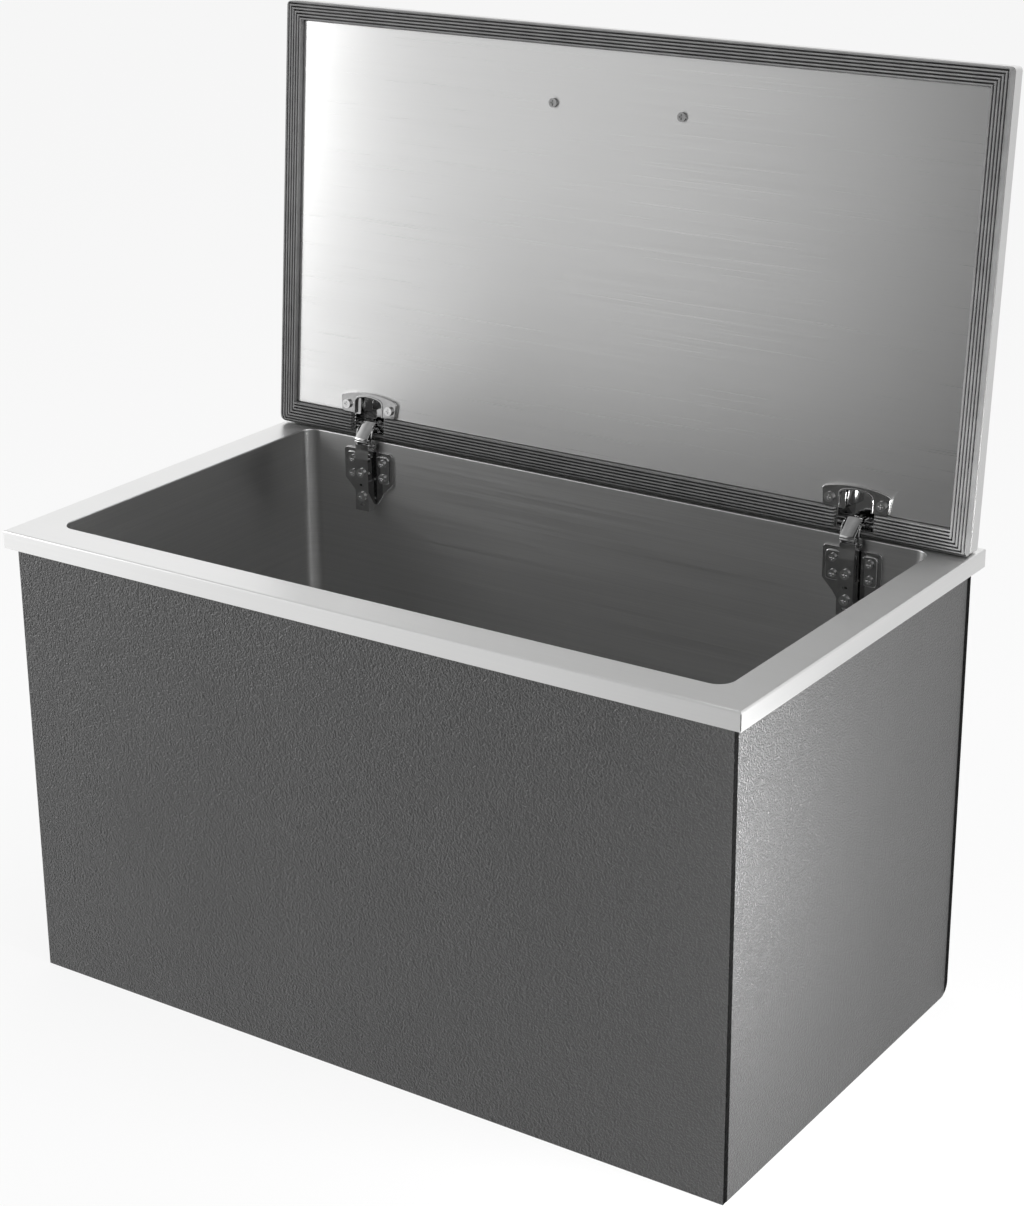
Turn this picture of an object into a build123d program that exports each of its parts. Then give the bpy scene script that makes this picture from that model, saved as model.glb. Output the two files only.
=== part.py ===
from build123d import *
import os
from math import cos, radians, sin, tan

os.makedirs("parts", exist_ok=True)

# Drop-in ice bin with a hinged, insulated lid, drawn with the lid open.
# Millimetres. X to the right, Y to the back, Z up.
# The origin is the centre of the base, in the plane that stands on the floor.

# Overall sizes
flange_width = 711.2
flange_depth = 406.4
bin_height = 411.0
cut_overrun = 5.0

# Top flange and its turned-down lip
flange_sheet = 1.2
lip_height = 15.6
lip_return = 5.6
lip_edge_radius = 1.8
lip_seam = 0.8
rim_side = 32.5
rim_front = 34.6
rim_back = 32.9
opening_radius = 14.0
opening_edge_radius = 0.9

# Inner tub
tub_sheet = 1.0
tub_floor_height = 81.0
tub_floor_radius = 14.0
dish_radius = 46.0
dish_depth = 4.0

# Outer case
case_sheet = 0.9
case_inset_side = 9.0
case_inset_front = 7.3
case_inset_back = 7.1
case_back_bend = 12.0
case_corner_gap = 5.3
post_leg = 18.0
post_sheet = 1.2
bead_radius = 0.8

# Drain
drain_offset = 225.0
drain_flange_radius = 42.0
drain_flange_thickness = 3.0
drain_flange_edge = 1.0
drain_shank_radius = 19.0
drain_shank_length = 46.0
drain_bore_radius = 15.6
strainer_radius = 24.0
strainer_thickness = 1.5
strainer_hole_radius = 2.2
strainer_ring_step = 7.5
strainer_ring_counts = (1, 6, 12)
gasket_radius = 34.0
gasket_thickness = 2.0
locknut_flats = 54.0
locknut_height = 9.0
tail_bore_radius = 12.7
tail_grip = 12.0
tail_recess = 4.0
drain_pocket_radius = 45.0

# Lid
lid_side_setback = 1.7
lid_front_overhang = 3.3
lid_thickness = 24.3
lid_sheet = 0.8
lid_corner_radius = 4.0
lid_bend_radius = 2.0
lid_lean = 4.9
lid_swing = 94.9
lid_edge_off_wall = 3.6
lid_edge_rise = 1.6
closed_gap = 0.3
closed_edge_past_wall = 14.5
hinge_edge_setback = 0.7
hem_width = 1.6
hem_height = 1.4
hem_inset = 0.3
hem_gap = 0.2
lid_foam_gap = 2.0

# Ribbed seal on the inside of the lid
seal_height = 8.0
seal_base = 1.8
rib_spacing = 2.85
rib_width = 1.35
rib_count = 6
hinge_rib_count = 8
seal_cutout_width = 38.0
seal_cutout_start = 4.2
relief_radius = 8.5
relief_up = 8.45
relief_deep = 8.6

# Handle on the outside of the lid
handle_spacing = 128.0
handle_from_edge = 65.3
handle_reach = 36.0
handle_bar_radius = 6.0
handle_bend = 18.0
handle_foot_radius = 9.0
handle_foot_height = 3.0
handle_screw_radius = 2.5
handle_screw_grip = 12.0
screw_head_radius = 4.0
screw_head_height = 2.4
recess_length = 4.6
recess_width = 1.1
recess_depth = 1.2

# Concealed hinges
hinge_from_side = 104.0
pin_radius = 1.5
pin_fit = 0.05
side_gap = 0.3
knuckle_radius = 2.4
arm_width = 15.0
arm_sheet = 1.0
arm_off_wall = 13.1
arm_back_off_wall = 4.1
arm_length = 66.0
arm_bend_low = 16.0
arm_bend_high = 7.5
arm_bend_back = 1.5
arm_slot_length = 5.0
arm_slot_width = 2.0
arm_slot_drops = (41.0, 60.0)
arm_screw_drops = (29.0, 52.0)
arm_screw_head_radius = 4.4
arm_screw_radius = 2.4
arm_screw_head_height = 2.0
plate_width = 55.0
plate_thickness = 2.0
plate_top_drop = 10.0
plate_wing_drop = 40.0
plate_neck_drop = 50.0
plate_neck_width = 35.0
plate_bottom_drop = 62.0
plate_foot_width = 19.0
pad_width = 13.0
pad_height = 24.0
pad_thickness = 1.5
pad_radius = 3.0
plate_screw_reach = 17.0
plate_screw_drops = (20.0, 34.0)
plate_screw_radius = 2.0
plate_screw_head_radius = 3.6
plate_screw_head_height = 1.9
plate_screw_length = 9.0
backing_width = 60.0
backing_height = 44.0
backing_thickness = 2.5

# Links: the outer link turns a small share of the lid's swing, the inner link a larger one
outer_turn_share = 0.1
inner_turn_share = 0.3
outer_cup_pin_up = 8.0
outer_cup_pin_deep = 11.0
inner_cup_pin_up = 10.0
inner_cup_pin_deep = 16.5
inner_arm_pin_off_wall = 4.04
inner_arm_pin_drop = 4.68
link_bar = 4.2
link_sheet = 1.2
link_bend_radius = 2.4
inner_link_bar = 3.8
inner_link_end_radius = 3.2
inner_slot_reach_y = 18.24
inner_slot_reach_z = 15.43
inner_slot_length = 1.7
inner_slot_fit = 0.15
inner_slot_angle = 51.5
# Bends of the link centre lines, across and up from the pin at the arm or at the cup,
# in shares of the link's own bar width
outer_link_arm_shares = ((0.55, 2.0), (2.0, 3.2))
outer_link_cup_shares = ((-0.5, 1.05),)
inner_link_arm_shares = ((-0.67, 2.0), (-0.22, 3.75), (1.6, 4.8))
inner_link_cup_shares = ((-1.2, 0.75),)
rivet_head_radius = 2.2
rivet_head_height = 0.5
pin_end_setback = 0.2

# Hinge cup and its screw flange
cup_width = 35.0
cup_sheet = 1.0
cup_centre_up = 23.5
cup_bottom_up = 4.6
cup_depth = 12.5
cup_flange_thickness = 3.0
cup_flange_width = 65.0
cup_flange_bottom = 22.0
cup_flange_top = 39.0
cup_flange_arch = 21.0
cup_flange_corner = 3.0
cup_rim_width = 37.2
cup_hole_gap = 0.2
cup_screw_spacing = 48.0
cup_screw_up = 29.7
cup_screw_radius = 2.0
cup_screw_head_radius = 4.2
cup_screw_length = 13.0

# Levels and faces worked out from the sizes above
flange_under = bin_height - flange_sheet
tub_floor = tub_floor_height
tub_depth = bin_height - tub_floor_height
opening_width = flange_width - 2 * rim_side
opening_depth = flange_depth - rim_front - rim_back
opening_y = (rim_front - rim_back) / 2
wall_y = flange_depth / 2 - rim_back
lid_width = flange_width - 2 * lid_side_setback
lid_length = wall_y + closed_edge_past_wall + flange_depth / 2 + lid_front_overhang
handle_up = lid_length - handle_from_edge
hinge_spacing = flange_width - 2 * hinge_from_side
drain_place = (-drain_offset, opening_y)
case_half_width = flange_width / 2 - case_inset_side
case_front = -flange_depth / 2 + case_inset_front
case_back = flange_depth / 2 - case_inset_back
case_depth = case_back - case_front
case_y = (case_front + case_back) / 2
dish_floor = tub_floor - dish_depth
dish_under = dish_floor - tub_sheet
panel_deep = seal_height
skin_start_deep = seal_height + hem_height + hem_gap

# The lid's own plane: X across, Y up from the hinge edge, Z out of the inner face
lean = radians(lid_lean)
lid_edge_y = wall_y - lid_edge_off_wall
lid_edge_z = bin_height + lid_edge_rise
lid_plane = Plane(origin=(0, lid_edge_y, lid_edge_z), x_dir=(1, 0, 0), z_dir=(0, -cos(lean), sin(lean)))


def lid_point(up, deep):
    """Side-view place (y, z) of a point of the open lid, up from its hinge edge and deep below the seal."""
    y = lid_edge_y + up * sin(lean) + deep * cos(lean)
    z = lid_edge_z + up * cos(lean) - deep * sin(lean)
    return y, z


def turned(point, centre, angle):
    """A side-view point turned about a centre, the way the lid closes."""
    across, rise = point[0] - centre[0], point[1] - centre[1]
    c, s = cos(radians(angle)), sin(radians(angle))
    return centre[0] + c * across - s * rise, centre[1] + s * across + c * rise


# Linkage pins in side view. The outer link's fixed pin is where one turn of the link
# carries its cup pin from the open place to the closed one.
outer_cup_pin = lid_point(outer_cup_pin_up, outer_cup_pin_deep)
closed_edge = (wall_y + closed_edge_past_wall, bin_height + closed_gap)
swung = turned(outer_cup_pin, (lid_edge_y, lid_edge_z), lid_swing)
outer_cup_pin_closed = (swung[0] - lid_edge_y + closed_edge[0], swung[1] - lid_edge_z + closed_edge[1])
outer_turn = outer_turn_share * lid_swing
half_chord_y = (outer_cup_pin_closed[0] - outer_cup_pin[0]) / 2
half_chord_z = (outer_cup_pin_closed[1] - outer_cup_pin[1]) / 2
spread = 1 / tan(radians(outer_turn) / 2)
outer_arm_pin = (
    outer_cup_pin[0] + half_chord_y - half_chord_z * spread,
    outer_cup_pin[1] + half_chord_z + half_chord_y * spread,
)
inner_arm_pin = (wall_y - inner_arm_pin_off_wall, bin_height - inner_arm_pin_drop)
inner_cup_pin = lid_point(inner_cup_pin_up, inner_cup_pin_deep)
inner_slot = (inner_arm_pin[0] + inner_slot_reach_y, inner_arm_pin[1] + inner_slot_reach_z)

hinge_sides = (("left", -hinge_spacing / 2), ("right", hinge_spacing / 2))
arm_inner_width = arm_width - 2 * arm_sheet
link_width = arm_inner_width - side_gap
inner_link_inside = arm_width / 2 + side_gap
inner_link_outside = inner_link_inside + link_sheet
web_inner = wall_y - arm_off_wall + arm_sheet
pad_front = wall_y - plate_thickness - pad_thickness
cup_flange_deep = panel_deep - cup_flange_thickness
cup_floor_deep = panel_deep + cup_depth


# Top flange: flat ring, turned-down lip, narrow return under it and open seams at the corners
with BuildPart() as flange:
    with BuildSketch(Plane.XY.offset(bin_height - lip_height)):
        Rectangle(flange_width, flange_depth)
    extrude(amount=lip_height)
    fillet(flange.faces().sort_by(Axis.Z)[-1].edges(), lip_edge_radius)
    with BuildSketch(Plane.XY.offset(bin_height - lip_height + flange_sheet)):
        Rectangle(flange_width - 2 * flange_sheet, flange_depth - 2 * flange_sheet)
    extrude(amount=lip_height - 2 * flange_sheet, mode=Mode.SUBTRACT)
    with BuildSketch(Plane.XY.offset(bin_height - lip_height)):
        Rectangle(flange_width - 2 * lip_return, flange_depth - 2 * lip_return)
    extrude(amount=flange_sheet, mode=Mode.SUBTRACT)
    with BuildSketch(Plane.XY.offset(flange_under)):
        with Locations((0, opening_y)):
            RectangleRounded(opening_width, opening_depth, opening_radius)
    extrude(amount=flange_sheet, mode=Mode.SUBTRACT)
    rim_edges = flange.edges().filter_by_position(Axis.Z, flange_under, bin_height)
    rim_edges = rim_edges.group_by(Axis.Z)[-1].filter_by_position(
        Axis.X, -opening_width / 2, opening_width / 2
    )
    fillet(rim_edges.filter_by_position(Axis.Y, -opening_depth, wall_y), opening_edge_radius)
    with BuildSketch(Plane.XY.offset(bin_height - lip_height)):
        for across in (-1, 1):
            for along in (-1, 1):
                with Locations((across * flange_width / 2, along * flange_depth / 2)):
                    Rectangle(2 * lip_return, lip_seam, rotation=45 * across * along)
    extrude(amount=lip_height - lip_edge_radius, mode=Mode.SUBTRACT)
flange.part.label = "top_flange"
export_step(flange.part, "parts/top_flange.step")

# Inner tub: deep-drawn liner with a dished drain seat
with BuildPart() as cavity:
    with BuildSketch(Plane.XY.offset(tub_floor)):
        with Locations((0, opening_y)):
            RectangleRounded(opening_width, opening_depth, opening_radius)
    extrude(amount=tub_depth)
    fillet(cavity.faces().sort_by(Axis.Z)[0].edges(), tub_floor_radius - tub_sheet)
    with BuildSketch(Plane.XY.offset(dish_floor)):
        with Locations(drain_place):
            Circle(dish_radius)
    extrude(amount=dish_depth)

with BuildPart() as tub_body:
    with BuildSketch(Plane.XY.offset(tub_floor - tub_sheet)):
        with Locations((0, opening_y)):
            RectangleRounded(
                opening_width + 2 * tub_sheet, opening_depth + 2 * tub_sheet, opening_radius + tub_sheet
            )
    extrude(amount=flange_under - tub_floor + tub_sheet)
    fillet(tub_body.faces().sort_by(Axis.Z)[0].edges(), tub_floor_radius)
    with BuildSketch(Plane.XY.offset(dish_under)):
        with Locations(drain_place):
            Circle(dish_radius + tub_sheet)
    extrude(amount=dish_depth)

hinge_plate_screw_places = [
    (centre + across * plate_screw_reach, bin_height - drop)
    for name, centre in hinge_sides
    for across in (-1, 1)
    for drop in plate_screw_drops
]
wall_front = Plane(origin=(0, wall_y, 0), x_dir=(1, 0, 0), z_dir=(0, -1, 0))

with BuildPart() as tub:
    add(tub_body.part)
    add(cavity.part, mode=Mode.SUBTRACT)
    with BuildSketch(Plane.XY.offset(dish_under)):
        with Locations(drain_place):
            Circle(drain_shank_radius + side_gap)
    extrude(amount=tub_sheet, mode=Mode.SUBTRACT)
    with BuildSketch(wall_front):
        with Locations(*hinge_plate_screw_places):
            Circle(plate_screw_radius + pin_fit)
    extrude(amount=-tub_sheet, mode=Mode.SUBTRACT)
tub.part.label = "inner_tub"
export_step(tub.part, "parts/inner_tub.step")

# Outer case: one sheet outline with a bent back edge at the bottom, parted into its panels
with BuildPart() as case_outline:
    with BuildSketch(Plane.XY):
        with Locations((0, case_y)):
            Rectangle(2 * case_half_width, case_depth)
    extrude(amount=flange_under)
    bottom_edges = case_outline.faces().sort_by(Axis.Z)[0].edges()
    fillet(bottom_edges.sort_by(Axis.Y)[-1], case_back_bend)

with BuildPart() as case_inside:
    with BuildSketch(Plane.XY.offset(case_sheet)):
        with Locations((0, case_y)):
            Rectangle(2 * (case_half_width - case_sheet), case_depth - 2 * case_sheet)
    extrude(amount=flange_under - case_sheet)
    inside_edges = case_inside.faces().sort_by(Axis.Z)[0].edges()
    fillet(inside_edges.sort_by(Axis.Y)[-1], case_back_bend - case_sheet)

with BuildPart() as case_shell:
    add(case_outline.part)
    add(case_inside.part, mode=Mode.SUBTRACT)

inner_half_width = case_half_width - case_sheet
for side_name, across in (("left", -1), ("right", 1)):
    with BuildPart() as side_panel:
        add(case_shell.part)
        with BuildSketch(Plane.XY):
            with Locations((across * (inner_half_width + case_sheet / 2), case_y)):
                Rectangle(case_sheet, case_depth - 2 * case_corner_gap)
        extrude(amount=flange_under, mode=Mode.INTERSECT)
    side_panel.part.label = "case_" + side_name
    export_step(side_panel.part, "parts/case_" + side_name + ".step")

with BuildPart() as front_panel:
    with BuildSketch(Plane.XY):
        with Locations((0, case_front + case_sheet / 2)):
            Rectangle(2 * case_half_width, case_sheet)
    extrude(amount=flange_under)
front_panel.part.label = "case_front"
export_step(front_panel.part, "parts/case_front.step")

with BuildPart() as back_panel:
    add(case_shell.part)
    with BuildSketch(Plane.XY):
        with Locations((0, case_back - case_back_bend / 2)):
            Rectangle(2 * inner_half_width, case_back_bend)
    extrude(amount=flange_under, mode=Mode.INTERSECT)
    with BuildSketch(Plane.XY.offset(case_back_bend)):
        with Locations((0, case_back - case_sheet / 2)):
            Rectangle(2 * case_half_width, case_sheet)
    extrude(amount=flange_under - case_back_bend)
back_panel.part.label = "case_back"
export_step(back_panel.part, "parts/case_back.step")

with BuildPart() as bottom_panel:
    bottom_start = case_front + case_sheet
    bottom_end = case_back - case_back_bend
    with BuildSketch(Plane.XY):
        with Locations((0, (bottom_start + bottom_end) / 2)):
            Rectangle(2 * inner_half_width, bottom_end - bottom_start)
        with Locations(drain_place):
            Circle(drain_pocket_radius, mode=Mode.SUBTRACT)
    extrude(amount=case_sheet)
bottom_panel.part.label = "case_bottom"
export_step(bottom_panel.part, "parts/case_bottom.step")

# Corner posts behind the open case corners, each with a vertical bead of sealant
post_foot = case_back_bend
with BuildPart() as posts:
    with BuildSketch(Plane.XY.offset(post_foot)):
        for across in (-1, 1):
            for along, face in ((-1, case_front), (1, case_back)):
                corner_x = across * inner_half_width
                corner_y = face - along * case_sheet
                with Locations((corner_x - across * post_leg / 2, corner_y - along * post_sheet / 2)):
                    Rectangle(post_leg, post_sheet)
                with Locations((corner_x - across * post_sheet / 2, corner_y - along * post_leg / 2)):
                    Rectangle(post_sheet, post_leg)
                with Locations((corner_x, face - along * (case_sheet + case_corner_gap) / 2)):
                    Circle(bead_radius)
    extrude(amount=flange_under - post_foot)
posts.part.label = "case_corner_posts"
export_step(posts.part, "parts/case_corner_posts.step")

# Backing plates behind the tub wall, which take the hinge plate screws
backing_drop = (plate_screw_drops[0] + plate_screw_drops[1]) / 2
backing_face = Plane(origin=(0, wall_y + tub_sheet, 0), x_dir=(1, 0, 0), z_dir=(0, -1, 0))
with BuildPart() as backing:
    with BuildSketch(backing_face):
        for name, centre in hinge_sides:
            with Locations((centre, bin_height - backing_drop)):
                RectangleRounded(backing_width, backing_height, pad_radius)
        with Locations(*hinge_plate_screw_places):
            Circle(plate_screw_radius + pin_fit, mode=Mode.SUBTRACT)
    extrude(amount=-backing_thickness)
backing.part.label = "hinge_backing_plates"
export_step(backing.part, "parts/hinge_backing_plates.step")

# Insulating foam between tub and case, with a pocket for the drain
screw_tip = wall_y - plate_thickness - pad_thickness + plate_screw_length
with BuildPart() as foam:
    add(case_inside.part)
    add(tub_body.part, mode=Mode.SUBTRACT)
    with BuildSketch(Plane.XY.offset(dish_under)):
        with Locations((0, opening_y)):
            RectangleRounded(opening_width, opening_depth, opening_radius)
    extrude(amount=flange_under - dish_under, mode=Mode.SUBTRACT)
    add(posts.part, mode=Mode.SUBTRACT)
    add(backing.part, mode=Mode.SUBTRACT)
    with BuildSketch(Plane.XY):
        with Locations(drain_place):
            Circle(drain_pocket_radius)
    extrude(amount=tub_floor, mode=Mode.SUBTRACT)
    with BuildSketch(backing_face):
        with Locations(*hinge_plate_screw_places):
            Circle(plate_screw_radius + side_gap)
    extrude(amount=-(screw_tip - wall_y - tub_sheet + side_gap), mode=Mode.SUBTRACT)
foam.part.label = "foam_fill"
export_step(foam.part, "parts/foam_fill.step")

# Drain body: flanged shank with a counterbore for the strainer
with BuildPart() as drain:
    with BuildSketch(Plane.XY.offset(dish_floor)):
        with Locations(drain_place):
            Circle(drain_flange_radius)
    extrude(amount=drain_flange_thickness)
    fillet(drain.faces().sort_by(Axis.Z)[-1].edges(), drain_flange_edge)
    with BuildSketch(Plane.XY.offset(dish_floor - drain_shank_length)):
        with Locations(drain_place):
            Circle(drain_shank_radius)
    extrude(amount=drain_shank_length)
    with BuildSketch(Plane.XY.offset(dish_floor + drain_flange_thickness - strainer_thickness)):
        with Locations(drain_place):
            Circle(strainer_radius + pin_fit)
    extrude(amount=strainer_thickness, mode=Mode.SUBTRACT)
    with BuildSketch(Plane.XY.offset(dish_floor - drain_shank_length)):
        with Locations(drain_place):
            Circle(drain_bore_radius)
    extrude(amount=drain_shank_length + drain_flange_thickness, mode=Mode.SUBTRACT)
drain.part.label = "drain_body"
export_step(drain.part, "parts/drain_body.step")

with BuildPart() as strainer:
    with BuildSketch(Plane.XY.offset(dish_floor + drain_flange_thickness - strainer_thickness)):
        with Locations(drain_place):
            Circle(strainer_radius)
            for ring, ring_count in enumerate(strainer_ring_counts):
                with PolarLocations(ring * strainer_ring_step, ring_count):
                    Circle(strainer_hole_radius, mode=Mode.SUBTRACT)
    extrude(amount=strainer_thickness)
strainer.part.label = "drain_strainer"
export_step(strainer.part, "parts/drain_strainer.step")

with BuildPart() as gasket:
    with BuildSketch(Plane.XY.offset(dish_under - gasket_thickness)):
        with Locations(drain_place):
            Circle(gasket_radius)
            Circle(drain_shank_radius + pin_fit, mode=Mode.SUBTRACT)
    extrude(amount=gasket_thickness)
gasket.part.label = "drain_gasket"
export_step(gasket.part, "parts/drain_gasket.step")

locknut_top = dish_under - gasket_thickness
with BuildPart() as locknut:
    with BuildSketch(Plane.XY.offset(locknut_top - locknut_height)):
        with Locations(drain_place):
            RegularPolygon(locknut_flats / 2, 6, major_radius=False)
            Circle(drain_shank_radius + pin_fit, mode=Mode.SUBTRACT)
    extrude(amount=locknut_height)
locknut.part.label = "drain_locknut"
export_step(locknut.part, "parts/drain_locknut.step")

tail_top = dish_floor - drain_shank_length + tail_grip
with BuildPart() as tail:
    with BuildSketch(Plane.XY.offset(tail_recess)):
        with Locations(drain_place):
            Circle(drain_bore_radius - pin_fit)
            Circle(tail_bore_radius, mode=Mode.SUBTRACT)
    extrude(amount=tail_top - tail_recess)
tail.part.label = "drain_tailpiece"
export_step(tail.part, "parts/drain_tailpiece.step")

# Lid outlines, drawn on the lid's own plane
skin_length = lid_length - hinge_edge_setback
skin_up = hinge_edge_setback + skin_length / 2


def cup_outline(extra):
    """Outline of the hinge cup, an arch above straight sides, grown by extra."""
    half_width = cup_width / 2 + extra
    bottom = cup_bottom_up - extra
    for name, centre in hinge_sides:
        with Locations((centre, cup_centre_up)):
            Circle(half_width)
        with Locations((centre, (cup_centre_up + bottom) / 2)):
            Rectangle(2 * half_width, cup_centre_up - bottom)


cup_screw_places = [
    (centre + across * cup_screw_spacing / 2, cup_screw_up)
    for name, centre in hinge_sides
    for across in (-1, 1)
]
handle_places = [(-handle_spacing / 2, handle_up), (handle_spacing / 2, handle_up)]

# Outer skin of the lid, a shallow pan
with BuildPart() as skin:
    with BuildSketch(lid_plane.offset(-lid_thickness)):
        with Locations((0, skin_up)):
            RectangleRounded(lid_width, skin_length, lid_corner_radius)
    extrude(amount=lid_thickness - skin_start_deep)
    outer_face = skin.faces().sort_by(Axis((0, 0, 0), lid_plane.z_dir))[0]
    fillet(outer_face.edges(), lid_bend_radius)
    with BuildSketch(lid_plane.offset(-lid_thickness + lid_sheet)):
        with Locations((0, skin_up)):
            RectangleRounded(
                lid_width - 2 * lid_sheet, skin_length - 2 * lid_sheet, lid_corner_radius - lid_sheet
            )
    extrude(amount=lid_thickness - lid_sheet - skin_start_deep, mode=Mode.SUBTRACT)
    with BuildSketch(lid_plane.offset(-lid_thickness)):
        with Locations(*handle_places):
            Circle(handle_screw_radius + pin_fit)
    extrude(amount=lid_sheet, mode=Mode.SUBTRACT)
skin.part.label = "lid_skin"
export_step(skin.part, "parts/lid_skin.step")

# Inner panel of the lid with a folded hem along its edges
with BuildPart() as panel:
    with BuildSketch(lid_plane.offset(-panel_deep - hem_height)):
        with Locations((0, skin_up)):
            RectangleRounded(lid_width - 2 * hem_inset, skin_length - 2 * hem_inset, lid_corner_radius - hem_inset)
    extrude(amount=hem_height)
    with BuildSketch(lid_plane.offset(-panel_deep - hem_height)):
        with Locations((0, skin_up)):
            RectangleRounded(
                lid_width - 2 * (hem_inset + hem_width),
                skin_length - 2 * (hem_inset + hem_width),
                lid_corner_radius - hem_width,
            )
    extrude(amount=hem_height - lid_sheet, mode=Mode.SUBTRACT)
    with BuildSketch(lid_plane.offset(-panel_deep)):
        cup_outline(cup_hole_gap)
        with Locations(*cup_screw_places):
            Circle(cup_screw_radius + pin_fit)
        with Locations(*handle_places):
            Circle(handle_screw_radius + pin_fit)
    extrude(amount=-hem_height, mode=Mode.SUBTRACT)
panel.part.label = "lid_inner_panel"
export_step(panel.part, "parts/lid_inner_panel.step")

# Foam core of the lid
with BuildPart() as lid_foam:
    with BuildSketch(lid_plane.offset(-lid_thickness + lid_sheet)):
        with Locations((0, skin_up)):
            RectangleRounded(
                lid_width - 2 * (lid_sheet + lid_foam_gap),
                skin_length - 2 * (lid_sheet + lid_foam_gap),
                lid_foam_gap,
            )
    extrude(amount=lid_thickness - 2 * lid_sheet - panel_deep)
    with BuildSketch(lid_plane.offset(-panel_deep)):
        cup_outline(side_gap)
        with Locations(*cup_screw_places):
            Circle(cup_screw_radius + side_gap)
    extrude(amount=-(cup_depth + cup_sheet + side_gap), mode=Mode.SUBTRACT)
    with BuildSketch(lid_plane.offset(-panel_deep)):
        with Locations(*handle_places):
            Circle(handle_screw_radius + side_gap)
    extrude(amount=-lid_thickness, mode=Mode.SUBTRACT)
lid_foam.part.label = "lid_foam"
export_step(lid_foam.part, "parts/lid_foam.step")

# Ribbed seal: nested rib frames on a flat base, two more ribs along the hinge edge
ring_span = (rib_count - 1) * rib_spacing + rib_width
hinge_span = (hinge_rib_count - 1) * rib_spacing + rib_width
seal_middle = (lid_length + hinge_span - ring_span) / 2
with BuildPart() as seal:
    with BuildSketch(lid_plane.offset(-seal_height)):
        with Locations((0, lid_length / 2)):
            RectangleRounded(lid_width, lid_length, lid_corner_radius)
        with Locations((0, seal_middle)):
            Rectangle(lid_width - 2 * ring_span, lid_length - ring_span - hinge_span, mode=Mode.SUBTRACT)
    extrude(amount=seal_base)
    with BuildSketch(lid_plane.offset(-seal_height + seal_base)):
        for ring in range(rib_count):
            inset = ring * rib_spacing
            with Locations((0, lid_length / 2)):
                if ring == 0:
                    RectangleRounded(lid_width, lid_length, lid_corner_radius)
                else:
                    Rectangle(lid_width - 2 * inset, lid_length - 2 * inset)
                hole = inset + rib_width
                Rectangle(lid_width - 2 * hole, lid_length - 2 * hole, mode=Mode.SUBTRACT)
        for rib in range(rib_count, hinge_rib_count):
            with Locations((0, rib * rib_spacing + rib_width / 2)):
                Rectangle(lid_width - 2 * ring_span + rib_width, rib_width)
    extrude(amount=seal_height - seal_base)
    with BuildSketch(lid_plane.offset(-seal_height)):
        for name, centre in hinge_sides:
            with Locations((centre, (seal_cutout_start + hinge_span + cut_overrun) / 2)):
                Rectangle(seal_cutout_width, hinge_span + cut_overrun - seal_cutout_start)
    extrude(amount=seal_height, mode=Mode.SUBTRACT)
    relief_plane = Plane(origin=(0, lid_edge_y, lid_edge_z), x_dir=(0, sin(lean), cos(lean)), z_dir=(-1, 0, 0))
    with BuildSketch(relief_plane.offset(-lid_width / 2 - cut_overrun)):
        with Locations((relief_up / 2 - cut_overrun / 2, relief_deep / 2 - cut_overrun / 2)):
            Rectangle(relief_up + cut_overrun, relief_deep + cut_overrun)
        with Locations((relief_up, relief_deep)):
            Circle(relief_radius, mode=Mode.SUBTRACT)
    extrude(amount=lid_width + 2 * cut_overrun, mode=Mode.SUBTRACT)
seal.part.label = "lid_seal"
export_step(seal.part, "parts/lid_seal.step")

# Bow handle on the outside of the lid
outer_plane = lid_plane.offset(-lid_thickness)
handle_path_plane = Plane(
    origin=outer_plane.from_local_coords((0, handle_up, 0)), x_dir=(1, 0, 0), z_dir=lid_plane.y_dir
)
with BuildPart() as handle:
    with BuildLine(handle_path_plane) as bow:
        FilletPolyline(
            (-handle_spacing / 2, 0),
            (-handle_spacing / 2, handle_reach),
            (handle_spacing / 2, handle_reach),
            (handle_spacing / 2, 0),
            radius=handle_bend,
        )
    with BuildSketch(outer_plane):
        with Locations((-handle_spacing / 2, handle_up)):
            Circle(handle_bar_radius)
    sweep()
    with BuildSketch(outer_plane):
        with Locations(*handle_places):
            Circle(handle_foot_radius)
    extrude(amount=-handle_foot_height)
    with BuildSketch(outer_plane):
        with Locations(*handle_places):
            Circle(handle_screw_radius + pin_fit)
    extrude(amount=-handle_screw_grip - side_gap, mode=Mode.SUBTRACT)
handle.part.label = "lid_handle"
export_step(handle.part, "parts/lid_handle.step")


def pan_screws(plane, places, head_radius, head_height, shank_radius, shank_length):
    """Cross-recessed pan-head screws whose heads sit on the plane and whose shanks run behind it."""
    with BuildPart() as screws:
        with BuildSketch(plane):
            with Locations(*places):
                Circle(head_radius)
        extrude(amount=head_height)
        with BuildSketch(plane):
            with Locations(*places):
                Circle(shank_radius)
        extrude(amount=-shank_length)
        with BuildSketch(plane.offset(head_height - recess_depth)):
            with Locations(*places):
                Rectangle(recess_length, recess_width)
                Rectangle(recess_width, recess_length)
        extrude(amount=recess_depth, mode=Mode.SUBTRACT)
    return screws


panel_plane = lid_plane.offset(-panel_deep)
handle_screw_length = lid_thickness - panel_deep + handle_screw_grip
handle_screws = pan_screws(
    panel_plane, handle_places, screw_head_radius, screw_head_height, handle_screw_radius, handle_screw_length
)
handle_screws.part.label = "handle_screws"
export_step(handle_screws.part, "parts/handle_screws.step")

cup_flange_plane = lid_plane.offset(-cup_flange_deep)
cup_screws = pan_screws(
    cup_flange_plane,
    cup_screw_places,
    cup_screw_head_radius,
    screw_head_height,
    cup_screw_radius,
    cup_screw_length,
)
cup_screws.part.label = "hinge_cup_screws"
export_step(cup_screws.part, "parts/hinge_cup_screws.step")

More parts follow.
